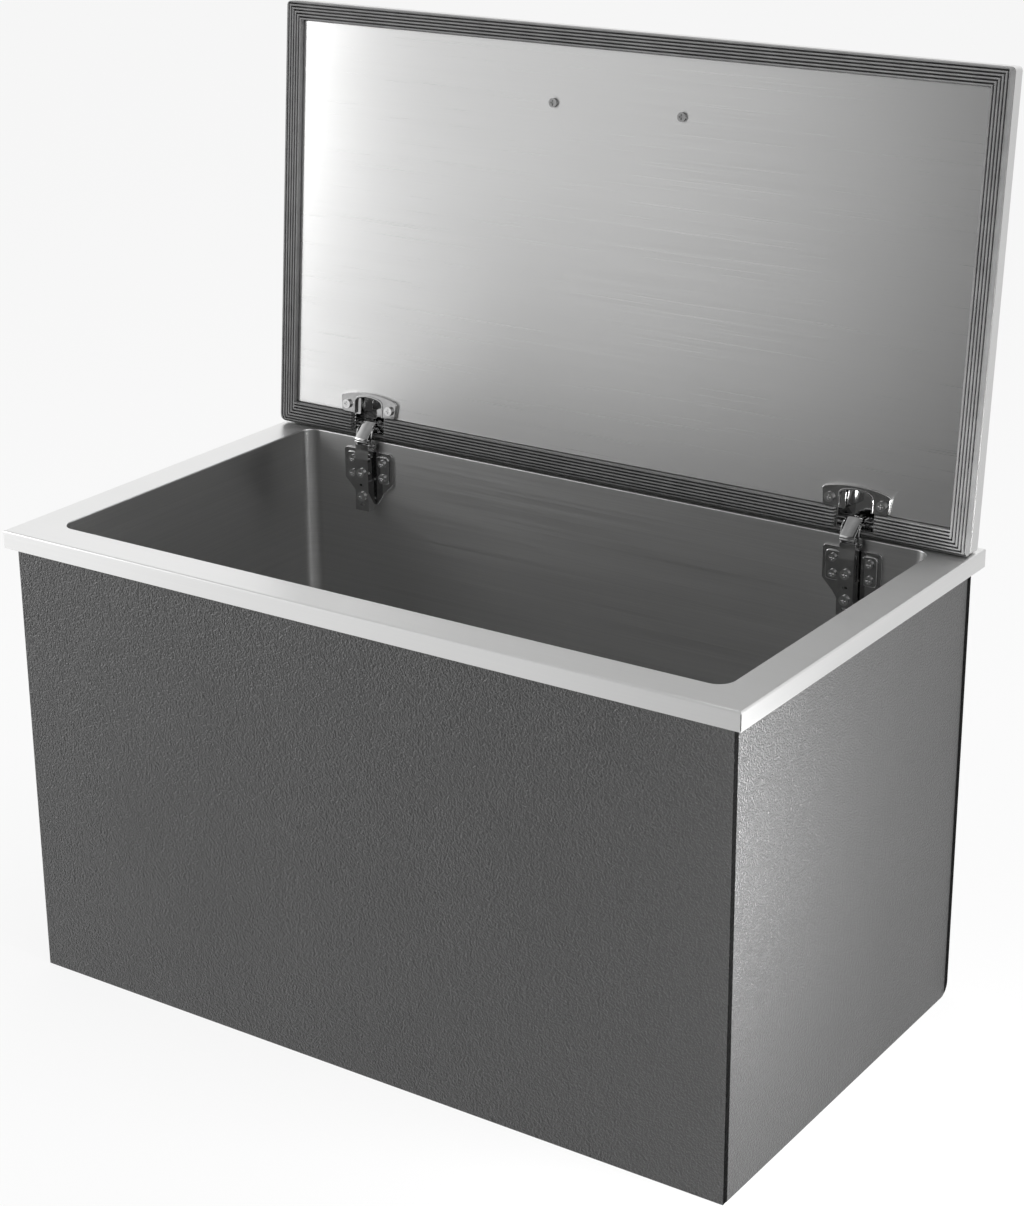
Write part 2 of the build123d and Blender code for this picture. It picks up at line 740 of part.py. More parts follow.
pad_plane = Plane(origin=(0, pad_front, 0), x_dir=(1, 0, 0), z_dir=(0, -1, 0))
plate_screws = pan_screws(
    pad_plane,
    hinge_plate_screw_places,
    plate_screw_head_radius,
    plate_screw_head_height,
    plate_screw_radius,
    plate_screw_length,
)
plate_screws.part.label = "hinge_plate_screws"
export_step(plate_screws.part, "parts/hinge_plate_screws.step")

arm_face = Plane(origin=(0, wall_y - arm_off_wall, 0), x_dir=(1, 0, 0), z_dir=(0, -1, 0))
arm_screw_length = arm_off_wall - plate_thickness - side_gap
arm_screw_places = [(centre, bin_height - drop) for name, centre in hinge_sides for drop in arm_screw_drops]
arm_screws = pan_screws(
    arm_face, arm_screw_places, arm_screw_head_radius, arm_screw_head_height, arm_screw_radius, arm_screw_length
)
arm_screws.part.label = "hinge_arm_screws"
export_step(arm_screws.part, "parts/hinge_arm_screws.step")

# Link centre lines in side view, bowed so that they pass in front of the lid's lower edge
outer_link_line = [outer_arm_pin]
for across_share, rise_share in outer_link_arm_shares:
    outer_link_line.append((outer_arm_pin[0] + across_share * link_bar, outer_arm_pin[1] + rise_share * link_bar))
for across_share, rise_share in outer_link_cup_shares:
    outer_link_line.append((outer_cup_pin[0] + across_share * link_bar, outer_cup_pin[1] + rise_share * link_bar))
outer_link_line.append(outer_cup_pin)
inner_link_line = [inner_arm_pin]
for across_share, rise_share in inner_link_arm_shares:
    inner_link_line.append(
        (inner_arm_pin[0] + across_share * inner_link_bar, inner_arm_pin[1] + rise_share * inner_link_bar)
    )
for across_share, rise_share in inner_link_cup_shares:
    inner_link_line.append((inner_slot[0] + across_share * inner_link_bar, inner_slot[1] + rise_share * inner_link_bar))
inner_link_line.append(inner_slot)

for side_name, centre in hinge_sides:
    # Mounting plate: winged base on the tub wall with a block that carries the arm
    block_width = arm_inner_width - 2 * side_gap
    block_top_drop = arm_bend_low + side_gap
    with BuildPart() as mount_plate:
        with BuildSketch(wall_front):
            with BuildLine():
                Polyline(
                    (centre - plate_width / 2, bin_height - plate_top_drop),
                    (centre - plate_width / 2, bin_height - plate_wing_drop),
                    (centre - plate_neck_width / 2, bin_height - plate_neck_drop),
                    (centre - plate_foot_width / 2, bin_height - plate_bottom_drop),
                    (centre + plate_foot_width / 2, bin_height - plate_bottom_drop),
                    (centre + plate_neck_width / 2, bin_height - plate_neck_drop),
                    (centre + plate_width / 2, bin_height - plate_wing_drop),
                    (centre + plate_width / 2, bin_height - plate_top_drop),
                    close=True,
                )
            make_face()
        extrude(amount=plate_thickness)
        with BuildSketch(wall_front.offset(plate_thickness)):
            for across in (-1, 1):
                with Locations((centre + across * plate_screw_reach, bin_height - backing_drop)):
                    RectangleRounded(pad_width, pad_height, pad_radius)
        extrude(amount=pad_thickness)
        with BuildSketch(wall_front.offset(plate_thickness)):
            with Locations((centre, bin_height - (block_top_drop + plate_bottom_drop) / 2)):
                Rectangle(block_width, plate_bottom_drop - block_top_drop)
        extrude(amount=arm_off_wall - arm_sheet - side_gap - plate_thickness)
        with BuildSketch(wall_front):
            with Locations(*[p for p in hinge_plate_screw_places if abs(p[0] - centre) < plate_width]):
                Circle(plate_screw_radius + pin_fit)
            for drop in arm_screw_drops:
                with Locations((centre, bin_height - drop)):
                    Circle(arm_screw_radius + pin_fit)
        extrude(amount=arm_off_wall, mode=Mode.SUBTRACT)
    mount_plate.part.label = side_name + "_hinge_plate"
    export_step(mount_plate.part, "parts/" + side_name + "_hinge_plate.step")

    # Hinge arm: pressed channel with two ears for the link pins
    arm_front_y = wall_y - arm_off_wall
    arm_back_y = wall_y - arm_back_off_wall
    bend_y = arm_front_y + arm_bend_back
    with BuildPart() as arm:
        with BuildSketch(Plane.YZ.offset(centre - arm_width / 2)):
            with BuildLine():
                Polyline(
                    (arm_front_y, bin_height - arm_length),
                    (arm_front_y, bin_height - arm_bend_low),
                    (bend_y, bin_height - arm_bend_high),
                    outer_arm_pin,
                    inner_arm_pin,
                    (arm_back_y, bin_height - arm_bend_low),
                    (arm_back_y, bin_height - arm_length),
                    close=True,
                )
            make_face()
            with Locations(outer_arm_pin, inner_arm_pin):
                Circle(knuckle_radius)
        extrude(amount=arm_width)
        with BuildSketch(Plane.YZ.offset(centre - arm_inner_width / 2)):
            with BuildLine():
                Polyline(
                    (arm_front_y + arm_sheet, bin_height - arm_length - cut_overrun),
                    (arm_front_y + arm_sheet, bin_height - arm_bend_low),
                    (bend_y + arm_sheet, bin_height - arm_bend_high),
                    (arm_front_y - cut_overrun, bin_height - arm_bend_high),
                    (arm_front_y - cut_overrun, bin_height + arm_bend_low),
                    (wall_y + cut_overrun, bin_height + arm_bend_low),
                    (wall_y + cut_overrun, bin_height - arm_length - cut_overrun),
                    close=True,
                )
            make_face()
        extrude(amount=arm_inner_width, mode=Mode.SUBTRACT)
        with BuildSketch(Plane.YZ.offset(centre - arm_width / 2)):
            with Locations(outer_arm_pin, inner_arm_pin):
                Circle(pin_radius + pin_fit)
        extrude(amount=arm_width, mode=Mode.SUBTRACT)
        with BuildSketch(arm_face):
            for drop in arm_screw_drops:
                with Locations((centre, bin_height - drop)):
                    Circle(arm_screw_radius + pin_fit)
            for drop in arm_slot_drops:
                with Locations((centre, bin_height - drop)):
                    SlotOverall(arm_slot_length, arm_slot_width)
        extrude(amount=-arm_sheet, mode=Mode.SUBTRACT)
    arm.part.label = side_name + "_hinge_arm"
    export_step(arm.part, "parts/" + side_name + "_hinge_arm.step")

    # Outer link: bowed channel with its web to the front
    with BuildPart() as outer_link:
        with BuildSketch(Plane.YZ.offset(centre - link_width / 2)):
            with BuildLine():
                FilletPolyline(*outer_link_line, radius=link_bend_radius)
            trace(line_width=link_bar)
            with Locations(outer_arm_pin, outer_cup_pin):
                Circle(link_bar / 2)
        extrude(amount=link_width)
        with BuildSketch(Plane.YZ.offset(centre - link_width / 2 + link_sheet)):
            with BuildLine():
                FilletPolyline(
                    *[(y + link_sheet, z - link_sheet) for y, z in outer_link_line],
                    radius=link_bend_radius,
                )
            trace(line_width=link_bar)
            with Locations(*[(y + link_sheet, z - link_sheet) for y, z in (outer_arm_pin, outer_cup_pin)]):
                Circle(link_bar / 2)
            with Locations(outer_cup_pin):
                Circle(link_bar / 2)
        extrude(amount=link_width - 2 * link_sheet, mode=Mode.SUBTRACT)
        with BuildSketch(Plane.YZ.offset(centre - link_width / 2)):
            with Locations(outer_arm_pin, outer_cup_pin):
                Circle(pin_radius + pin_fit)
        extrude(amount=link_width, mode=Mode.SUBTRACT)
    outer_link.part.label = side_name + "_outer_link"
    export_step(outer_link.part, "parts/" + side_name + "_outer_link.step")

    # Inner link: two bowed plates outside the arm, slotted at the cup end
    with BuildPart() as inner_link:
        for start in (centre - inner_link_outside, centre + inner_link_inside):
            with BuildSketch(Plane.YZ.offset(start)):
                with BuildLine():
                    FilletPolyline(*inner_link_line, radius=link_bend_radius)
                trace(line_width=inner_link_bar)
                with Locations(inner_arm_pin):
                    Circle(knuckle_radius)
                    Circle(pin_radius + pin_fit, mode=Mode.SUBTRACT)
                with Locations(inner_slot):
                    Circle(inner_link_end_radius)
                    SlotCenterToCenter(
                        inner_slot_length,
                        2 * (pin_radius + inner_slot_fit),
                        rotation=inner_slot_angle,
                        mode=Mode.SUBTRACT,
                    )
            extrude(amount=link_sheet)
    inner_link.part.label = side_name + "_inner_link"
    export_step(inner_link.part, "parts/" + side_name + "_inner_link.step")

    # Hinge cup: screw flange, arched rim and deep pan
    with BuildPart() as cup:
        with BuildSketch(panel_plane):
            with Locations((centre, (cup_flange_bottom + cup_flange_top) / 2)):
                RectangleRounded(cup_flange_width, cup_flange_top - cup_flange_bottom, cup_flange_corner)
            with Locations((centre, cup_centre_up)):
                Circle(cup_flange_arch)
            with Locations((centre, (cup_flange_bottom - cup_flange_arch) / 2)):
                Rectangle(2 * cup_flange_width, cup_flange_bottom + cup_flange_arch, mode=Mode.SUBTRACT)
            rim_bottom = cup_bottom_up
            with Locations((centre, (rim_bottom + cup_flange_bottom) / 2)):
                Rectangle(cup_rim_width, cup_flange_bottom - rim_bottom)
        extrude(amount=cup_flange_thickness)
        with BuildSketch(panel_plane):
            with Locations((centre, cup_centre_up)):
                Circle(cup_width / 2)
            with Locations((centre, (cup_centre_up + cup_bottom_up) / 2)):
                Rectangle(cup_width, cup_centre_up - cup_bottom_up)
        extrude(amount=-(cup_depth + cup_sheet))
        with BuildSketch(lid_plane.offset(-cup_floor_deep)):
            inside_bottom = cup_bottom_up + cup_sheet
            with Locations((centre, cup_centre_up)):
                Circle(cup_width / 2 - cup_sheet)
            with Locations((centre, (cup_centre_up + inside_bottom) / 2)):
                Rectangle(cup_width - 2 * cup_sheet, cup_centre_up - inside_bottom)
        extrude(amount=cup_floor_deep, mode=Mode.SUBTRACT)
        with BuildSketch(panel_plane):
            with Locations(*[p for p in cup_screw_places if abs(p[0] - centre) < cup_flange_width]):
                Circle(cup_screw_radius + pin_fit)
        extrude(amount=cup_flange_thickness, mode=Mode.SUBTRACT)
        with BuildSketch(Plane.YZ.offset(centre - cup_width / 2)):
            with Locations(outer_cup_pin, inner_cup_pin):
                Circle(pin_radius + pin_fit)
        extrude(amount=cup_width, mode=Mode.SUBTRACT)
    cup.part.label = side_name + "_hinge_cup"
    export_step(cup.part, "parts/" + side_name + "_hinge_cup.step")

# Pins: flush rivets in the arms, headed rivets outside them, and pins across the cups
with BuildPart() as arm_pins:
    for name, centre in hinge_sides:
        with BuildSketch(Plane.YZ.offset(centre - arm_width / 2)):
            with Locations(outer_arm_pin):
                Circle(pin_radius)
        extrude(amount=arm_width)
        rivet_half = inner_link_outside + side_gap
        with BuildSketch(Plane.YZ.offset(centre - rivet_half)):
            with Locations(inner_arm_pin):
                Circle(pin_radius)
        extrude(amount=2 * rivet_half)
        for start in (centre - rivet_half - rivet_head_height, centre + rivet_half):
            with BuildSketch(Plane.YZ.offset(start)):
                with Locations(inner_arm_pin):
                    Circle(rivet_head_radius)
            extrude(amount=rivet_head_height)
arm_pins.part.label = "hinge_arm_pins"
export_step(arm_pins.part, "parts/hinge_arm_pins.step")

cup_pin_half = cup_width / 2 - pin_end_setback
with BuildPart() as cup_pins:
    for name, centre in hinge_sides:
        with BuildSketch(Plane.YZ.offset(centre - cup_pin_half)):
            with Locations(outer_cup_pin):
                Circle(pin_radius)
        extrude(amount=2 * cup_pin_half)
        stub_start = link_width / 2 + side_gap
        for start in (centre - cup_pin_half, centre + stub_start):
            with BuildSketch(Plane.YZ.offset(start)):
                with Locations(inner_cup_pin):
                    Circle(pin_radius)
            extrude(amount=cup_pin_half - stub_start)
cup_pins.part.label = "hinge_cup_pins"
export_step(cup_pins.part, "parts/hinge_cup_pins.step")
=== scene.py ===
import math

import bmesh
import bpy
from mathutils import Matrix, Vector


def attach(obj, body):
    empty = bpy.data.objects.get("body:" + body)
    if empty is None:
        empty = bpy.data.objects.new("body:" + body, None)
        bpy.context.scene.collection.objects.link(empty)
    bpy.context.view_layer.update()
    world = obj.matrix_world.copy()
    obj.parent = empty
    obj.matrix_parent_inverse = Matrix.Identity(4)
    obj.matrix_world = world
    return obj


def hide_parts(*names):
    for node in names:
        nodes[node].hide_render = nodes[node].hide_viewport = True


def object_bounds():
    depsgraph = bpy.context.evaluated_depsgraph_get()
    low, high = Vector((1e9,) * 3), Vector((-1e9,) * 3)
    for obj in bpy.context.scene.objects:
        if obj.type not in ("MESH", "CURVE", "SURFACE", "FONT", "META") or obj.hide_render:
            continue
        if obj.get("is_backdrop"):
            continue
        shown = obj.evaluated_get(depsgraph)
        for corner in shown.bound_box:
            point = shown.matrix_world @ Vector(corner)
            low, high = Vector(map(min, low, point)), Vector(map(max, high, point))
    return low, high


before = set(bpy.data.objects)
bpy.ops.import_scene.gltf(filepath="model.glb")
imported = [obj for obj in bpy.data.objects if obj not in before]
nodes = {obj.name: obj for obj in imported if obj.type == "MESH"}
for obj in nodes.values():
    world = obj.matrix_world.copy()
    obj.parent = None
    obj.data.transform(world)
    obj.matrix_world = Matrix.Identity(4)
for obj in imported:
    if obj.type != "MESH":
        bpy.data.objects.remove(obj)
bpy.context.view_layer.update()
scene = bpy.context.scene

# Camera
# The photograph is 1024 x 1206; its longer side spans the 36 mm sensor.
SENSOR = 36.0
PHOTO_LONG_SIDE = 1206.0
FOCAL_PIXELS = 2629.12
PRINCIPAL_RIGHT = 0.385
PRINCIPAL_UP = 4.423
EYE = Vector((1.1756, -1.6906, 1.1361))
FORWARD = Vector((-0.52656, 0.77322, -0.35336)).normalized()
UP = Vector((-0.19261, 0.29634, 0.93546)).normalized()
CLIP_END = 50.0

camera_data = bpy.data.cameras.new("camera")
camera_data.sensor_fit = "AUTO"
camera_data.sensor_width = SENSOR
camera_data.lens = FOCAL_PIXELS * SENSOR / PHOTO_LONG_SIDE
camera_data.shift_x = -PRINCIPAL_RIGHT / PHOTO_LONG_SIDE
camera_data.shift_y = -PRINCIPAL_UP / PHOTO_LONG_SIDE
camera_data.clip_end = CLIP_END
camera = bpy.data.objects.new("camera", camera_data)
scene.collection.objects.link(camera)
right = FORWARD.cross(UP).normalized()
up = right.cross(FORWARD)
rotation = Matrix((right, up, -FORWARD)).transposed()
camera.matrix_world = Matrix.Translation(EYE) @ rotation.to_4x4()
bpy.context.scene.camera = camera


# Materials
OPAQUE = 1.0
# Most of a noise texture's values lie in the first range, and nearly all in the second.
NOISE_MIDDLE = (0.3, 0.7)
NOISE_WIDE = (0.25, 0.75)


class Tree:
    """A node tree, with short calls for the nodes that this scene uses."""

    def __init__(self, tree):
        self.nodes = tree.nodes
        self.links = tree.links
        self.nodes.clear()

    def link(self, source, socket):
        self.links.new(source, socket)

    def fill(self, socket, value):
        """Set a socket to a number or a colour, or link a node's output to it."""
        if isinstance(value, (int, float)):
            socket.default_value = value
        elif isinstance(value, tuple):
            socket.default_value = value + (OPAQUE,)
        else:
            self.link(value, socket)

    def add(self, kind, **values):
        """Add a node; an underscore in a keyword stands for the space in a socket's name."""
        made = self.nodes.new(kind)
        for name, value in values.items():
            self.fill(made.inputs[name.replace("_", " ")], value)
        return made

    def remap(self, value, low, high, to_low, to_high):
        made = self.add(
            "ShaderNodeMapRange",
            Value=value, From_Min=low, From_Max=high, To_Min=to_low, To_Max=to_high,
        )
        return made.outputs[0]

    def maths(self, operation, *values):
        made = self.nodes.new("ShaderNodeMath")
        made.operation = operation
        for socket, value in zip(made.inputs, values):
            self.fill(socket, value)
        return made.outputs[0]

    def blend(self, factor, first, second):
        """Mix two shaders."""
        made = self.nodes.new("ShaderNodeMixShader")
        for socket, value in zip(made.inputs, (factor, first, second)):
            self.link(value, socket)
        return made.outputs[0]


class Material(Tree):
    """A material with a principled shader and the object's own coordinates."""

    def __init__(self, name):
        self.material = bpy.data.materials.new(name)
        self.material.use_nodes = True
        super().__init__(self.material.node_tree)
        self.output = self.nodes.new("ShaderNodeOutputMaterial")
        self.shader = self.nodes.new("ShaderNodeBsdfPrincipled")
        self.link(self.shader.outputs[0], self.output.inputs["Surface"])
        self.coords = self.nodes.new("ShaderNodeTexCoord").outputs["Object"]

    def stretched(self, scale):
        mapping = self.nodes.new("ShaderNodeMapping")
        mapping.inputs["Scale"].default_value = scale
        self.link(self.coords, mapping.inputs["Vector"])
        return mapping.outputs[0]

    def noise(self, vector, scale=1.0, detail=3.0, rough=0.55):
        made = self.add(
            "ShaderNodeTexNoise", Vector=vector, Scale=scale, Detail=detail, Roughness=rough
        )
        return made.outputs["Fac"]

    def mix(self, factor, first, second):
        """Mix two colours."""
        made = self.nodes.new("ShaderNodeMix")
        made.data_type = "RGBA"
        for place, value in zip((0, 6, 7), (factor, first, second)):
            self.fill(made.inputs[place], value)
        return made.outputs[2]

    def put(self, name, value):
        self.fill(self.shader.inputs[name], value)

    def bump(self, height, strength, distance):
        made = self.add("ShaderNodeBump", Strength=strength, Distance=distance, Height=height)
        self.link(made.outputs[0], self.shader.inputs["Normal"])

    def mottled(self, pattern, dark, pale):
        """Base colour between two greys, after a noise."""
        share = self.remap(pattern, *NOISE_MIDDLE, 0.0, 1.0)
        self.put("Base Color", self.mix(share, (dark,) * 3, (pale,) * 3))


# Brushed steel's noise runs long along the grain and short across it, in cycles per metre.
GRAIN_ALONG = 4.0
GRAIN_ACROSS = 900.0
GRAIN_NOISE = {"detail": 5.0, "rough": 0.7}
CLOUD_STRETCH = (3.0, 3.0, 5.0)
CLOUD_SHADE = 0.02
STEEL_BLUE = 0.995
# A face is level where its normal's height passes from the first value to the second.
LEVEL_RANGE = (0.6, 0.8)
SMOOTHER = 0.05
ROUGHER = 0.07
VERTICAL_HIGHLIGHT = 0.25
LEVEL_FACE_GRAIN = (0.02, 0.0, 0.0)
GRAIN_BUMP = (0.08, 0.0002)


def brushed_steel(name, tone, roughness, grain, anisotropy):
    """Sheet steel with a fine straight grain: level on walls, and along X on level faces."""
    made = Material(name)
    walls = made.stretched((GRAIN_ALONG, GRAIN_ALONG, GRAIN_ACROSS))
    flats = made.stretched((GRAIN_ALONG, GRAIN_ACROSS, GRAIN_ALONG))
    normal = made.nodes.new("ShaderNodeNewGeometry").outputs["Normal"]
    height = made.add("ShaderNodeSeparateXYZ", Vector=normal).outputs["Z"]
    level = made.remap(made.maths("ABSOLUTE", height), *LEVEL_RANGE, 0.0, 1.0)
    fine = made.mix(level, made.noise(walls, **GRAIN_NOISE), made.noise(flats, **GRAIN_NOISE))
    cloud = made.noise(made.stretched(CLOUD_STRETCH), detail=2.0)
    streaks = made.remap(fine, *NOISE_WIDE, -grain, grain)
    patches = made.remap(cloud, *NOISE_MIDDLE, -CLOUD_SHADE, CLOUD_SHADE)
    shade = made.maths("ADD", made.maths("ADD", streaks, patches), tone)
    blue = made.maths("MULTIPLY", shade, STEEL_BLUE)
    joined = made.add("ShaderNodeCombineColor", Red=shade, Green=shade, Blue=blue)
    made.put("Base Color", joined.outputs[0])
    made.put("Metallic", 1.0)
    roughest = roughness + ROUGHER
    made.put("Roughness", made.remap(fine, *NOISE_WIDE, roughness - SMOOTHER, roughest))
    made.put("Anisotropic", anisotropy)
    made.put("Anisotropic Rotation", VERTICAL_HIGHLIGHT)
    along_wall = made.nodes.new("ShaderNodeVectorMath")
    along_wall.operation = "CROSS_PRODUCT"
    along_wall.inputs[1].default_value = (0.0, 0.0, 1.0)
    made.link(normal, along_wall.inputs[0])
    along_grain = made.nodes.new("ShaderNodeVectorMath")
    along_grain.operation = "ADD"
    along_grain.inputs[1].default_value = LEVEL_FACE_GRAIN
    made.link(along_wall.outputs[0], along_grain.inputs[0])
    made.link(along_grain.outputs[0], made.shader.inputs["Tangent"])
    made.bump(fine, *GRAIN_BUMP)
    return made.material


COAT_DARK = 0.8
COAT_PALE = 1.25
COAT_SPREAD = 0.03
COAT_BUMP = 0.8


def coated(name, tone, gloss, peel_scale, relief, rough):
    """Baked coating or sealant with a fine orange-peel grain."""
    made = Material(name)
    peel = made.noise(made.coords, scale=peel_scale, detail=1.5, rough=0.5)
    broad = made.noise(made.coords, scale=9.0)
    made.mottled(peel, tone * COAT_DARK, tone * COAT_PALE)
    roughest = rough + COAT_SPREAD
    made.put("Roughness", made.remap(broad, *NOISE_MIDDLE, rough - COAT_SPREAD, roughest))
    made.put("Specular IOR Level", gloss)
    made.bump(peel, COAT_BUMP, relief)
    return made.material


RUBBER_DARK = 0.85
RUBBER_PALE = 1.15
RUBBER_ROUGHNESS = (0.4, 0.55)
RUBBER_BUMP = (0.1, 0.0002)


def rubber(name, tone):
    """Extruded seal: dark, even, with a faint mottle and a satin face."""
    made = Material(name)
    mottle = made.noise(made.coords, scale=60.0, detail=4.0)
    dust = made.noise(made.coords, scale=900.0, detail=2.0)
    made.mottled(mottle, tone * RUBBER_DARK, tone * RUBBER_PALE)
    made.put("Roughness", made.remap(dust, *NOISE_MIDDLE, *RUBBER_ROUGHNESS))
    made.bump(dust, *RUBBER_BUMP)
    return made.material


PLATE_DARK = 0.88
PLATE_SMOOTHEST = 0.8
PLATE_ROUGHEST = 1.3
PLATE_BUMP = (0.05, 0.0001)


def plated(name, tone, roughness):
    """Plated or polished metal, bright with a soft cloudy wear."""
    made = Material(name)
    cloud = made.noise(made.coords, scale=160.0)
    fine = made.noise(made.coords, scale=1500.0, detail=2.0)
    made.mottled(cloud, tone * PLATE_DARK, tone)
    made.put("Metallic", 1.0)
    smoothest, roughest = roughness * PLATE_SMOOTHEST, roughness * PLATE_ROUGHEST
    made.put("Roughness", made.remap(cloud, *NOISE_MIDDLE, smoothest, roughest))
    made.bump(fine, *PLATE_BUMP)
    return made.material


FOAM_DARK = (0.72, 0.62, 0.38)
FOAM_PALE = (0.80, 0.72, 0.50)
FOAM_ROUGHNESS = 0.9
FOAM_BUMP = (0.4, 0.0008)


def foam(name):
    """Rigid insulating foam with fine cells."""
    made = Material(name)
    cells = made.add("ShaderNodeTexVoronoi", Scale=700.0, Vector=made.coords)
    tint = made.noise(made.coords, scale=20.0)
    made.put("Base Color", made.mix(tint, FOAM_DARK, FOAM_PALE))
    made.put("Roughness", FOAM_ROUGHNESS)
    made.bump(cells.outputs["Distance"], *FOAM_BUMP)
    return made.material


steel_lid = brushed_steel("steel_lid_panel", 0.76, 0.30, grain=0.012, anisotropy=0.9)
steel_flange = brushed_steel("steel_flange", 0.86, 0.36, grain=0.02, anisotropy=0.3)
steel_tub = brushed_steel("steel_tub", 0.60, 0.32, grain=0.05, anisotropy=0.9)
steel_skin = brushed_steel("steel_skin", 0.78, 0.33, grain=0.02, anisotropy=0.5)
steel_polished = plated("steel_polished", 0.75, 0.18)
charcoal = coated(
    "charcoal_coating", 0.034, gloss=0.95, peel_scale=640.0, relief=0.0017, rough=0.34
)
# Black sealant, near-black and dull: partly the sealant's own colour, partly painted shade for
# the dark gaps at the case's corners.
sealant_and_painted_shade = coated("black_sealant_painted_shade", 0.002, gloss=0.03, peel_scale=300.0, relief=0.002, rough=0.6)
seal_rubber = rubber("seal_rubber", 0.24)
black_rubber = rubber("black_rubber", 0.03)
hinge_nickel = plated("hinge_nickel", 0.60, 0.08)
bright_screw = plated("bright_screw", 0.90, 0.12)
dark_screw = plated("dark_screw", 0.4, 0.2)
zinc = plated("zinc_plate", 0.5, 0.35)
brass = plated("turned_brass", 0.5, 0.25)
BRASS_TINT = (0.9, 0.75, 0.45, OPAQUE)
brass.node_tree.nodes["Principled BSDF"].inputs["Specular Tint"].default_value = BRASS_TINT
cream_foam = foam("rigid_foam")

FINISH = {
    "top_flange": steel_flange,
    "inner_tub": steel_tub,
    "foam_fill": cream_foam,
    "lid_foam": cream_foam,
    "lid_inner_panel": steel_lid,
    "lid_skin": steel_skin,
    "lid_handle": steel_polished,
    "lid_seal": seal_rubber,
    "case_corner_posts": sealant_and_painted_shade,
    "handle_screws": dark_screw,
    "drain_gasket": black_rubber,
    "drain_body": steel_polished,
    "drain_strainer": steel_polished,
    "drain_locknut": zinc,
    "drain_tailpiece": brass,
    "hinge_backing_plates": zinc,
    "hinge_plate_screws": bright_screw,
    "hinge_arm_screws": bright_screw,
}
for name, node in nodes.items():
    plain_finish = charcoal if name.startswith("case_") else hinge_nickel
    finish = FINISH.get(name, plain_finish)
    node.data.materials.clear()
    node.data.materials.append(finish)


# Formed sheet pieces: rounded outlines cut as flat sheets with softened edges. Sizes in mm.
MM = 0.001
ARC_STEPS = 5
SHARP_ANGLE = math.radians(50.0)
FLAT_SHARE = 0.999
BEVEL_STEPS = 1
MERGE_DISTANCE = 1e-6


def rounded(corners):
    """Outline through corners (across, up, radius), each rounded by its radius."""
    outline = []
    for i, (u, v, radius) in enumerate(corners):
        corner = Vector((u, v))
        if radius <= 0.0:
            outline.append(corner)
            continue
        back = (Vector(corners[i - 1][:2]) - corner).normalized()
        ahead = (Vector(corners[(i + 1) % len(corners)][:2]) - corner).normalized()
        half = back.angle(ahead) / 2.0
        start = corner + back * (radius / math.tan(half))
        end = corner + ahead * (radius / math.tan(half))
        centre = corner + (back + ahead).normalized() * (radius / math.sin(half))
        for step in range(ARC_STEPS + 1):
            spread = start.lerp(end, step / ARC_STEPS) - centre
            outline.append(centre + spread.normalized() * radius)
    return outline


def arch(half_width, side_top, middle_top, steps, corner):
    """Corners of an arc over a width, from right to left, with rounded ends."""
    rise = middle_top - side_top
    radius = (half_width * half_width + rise * rise) / (2.0 * rise)
    sweep = math.asin(half_width / radius)
    points = []
    for step in range(steps + 1):
        angle = sweep * (1.0 - 2.0 * step / steps)
        end_radius = corner if step in (0, steps) else 0.0
        height = middle_top - radius + radius * math.cos(angle)
        points.append((radius * math.sin(angle), height, end_radius))
    return points


def band(line, thickness, fold):
    """Closed outline of a folded strip that follows a line, with rounded folds."""
    left, right = [], []
    for i, point in enumerate(line):
        here = Vector(point)
        before = Vector(line[i - 1]) if i else here
        after = Vector(line[i + 1]) if i + 1 < len(line) else here
        first = (here - before) if i else (after - here)
        second = (after - here) if i + 1 < len(line) else first
        first.normalize()
        second.normalize()
        across = Vector((-first.y - second.y, first.x + second.x)).normalized()
        reach = thickness / 2.0 / across.dot(Vector((-first.y, first.x)))
        inner_fold = 0.0 if i in (0, len(line) - 1) else fold
        turn_left = first.x * second.y - first.y * second.x > 0.0
        left_fold = inner_fold if turn_left else inner_fold + thickness
        right_fold = inner_fold + thickness if turn_left else inner_fold
        if not inner_fold:
            left_fold = right_fold = 0.0
        left.append((*(here + across * reach), left_fold))
        right.append((*(here - across * reach), right_fold))
    return rounded(left + right[::-1])


def add_sheet(mesh_out, place, outlines, low, high, soft=0.0):
    """Add to a bmesh the sheet between two heights whose outline, then holes, are given."""
    curve = bpy.data.curves.new("outline", "CURVE")
    curve.dimensions = "2D"
    curve.fill_mode = "BOTH"
    curve.extrude = ((high - low) / 2.0 - soft) * MM
    curve.bevel_depth = soft * MM
    curve.bevel_resolution = BEVEL_STEPS
    curve.offset = -soft * MM
    for outline in outlines:
        spline = curve.splines.new("POLY")
        spline.points.add(len(outline) - 1)
        for point, (u, v) in zip(spline.points, outline):
            point.co = (u * MM, v * MM, 0.0, 1.0)
        spline.use_cyclic_u = True
    holder = bpy.data.objects.new("outline", curve)
    mesh = bpy.data.meshes.new_from_object(holder)
    for face in mesh.polygons:
        face.use_smooth = abs(face.normal.z) < FLAT_SHARE
    mesh.transform(place @ Matrix.Translation((0.0, 0.0, (low + high) / 2.0 * MM)))
    mesh_out.from_mesh(mesh)
    bpy.data.objects.remove(holder)
    bpy.data.curves.remove(curve)
    bpy.data.meshes.remove(mesh)


def piece(name, body, made, material, replaced=()):
    """Turn a bmesh into an object that rides on a body and stands for nodes."""
    bmesh.ops.remove_doubles(made, verts=made.verts, dist=MERGE_DISTANCE)
    bmesh.ops.recalc_face_normals(made, faces=made.faces)
    for edge in made.edges:
        if len(edge.link_faces) != 2 or edge.calc_face_angle() > SHARP_ANGLE:
            edge.smooth = False
    mesh = bpy.data.meshes.new(name)
    made.to_mesh(mesh)
    made.free()
    mesh.materials.append(material)
    obj = bpy.data.objects.new(name, mesh)
    scene.collection.objects.link(obj)
    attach(obj, body)
    if replaced:
        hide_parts(*replaced)


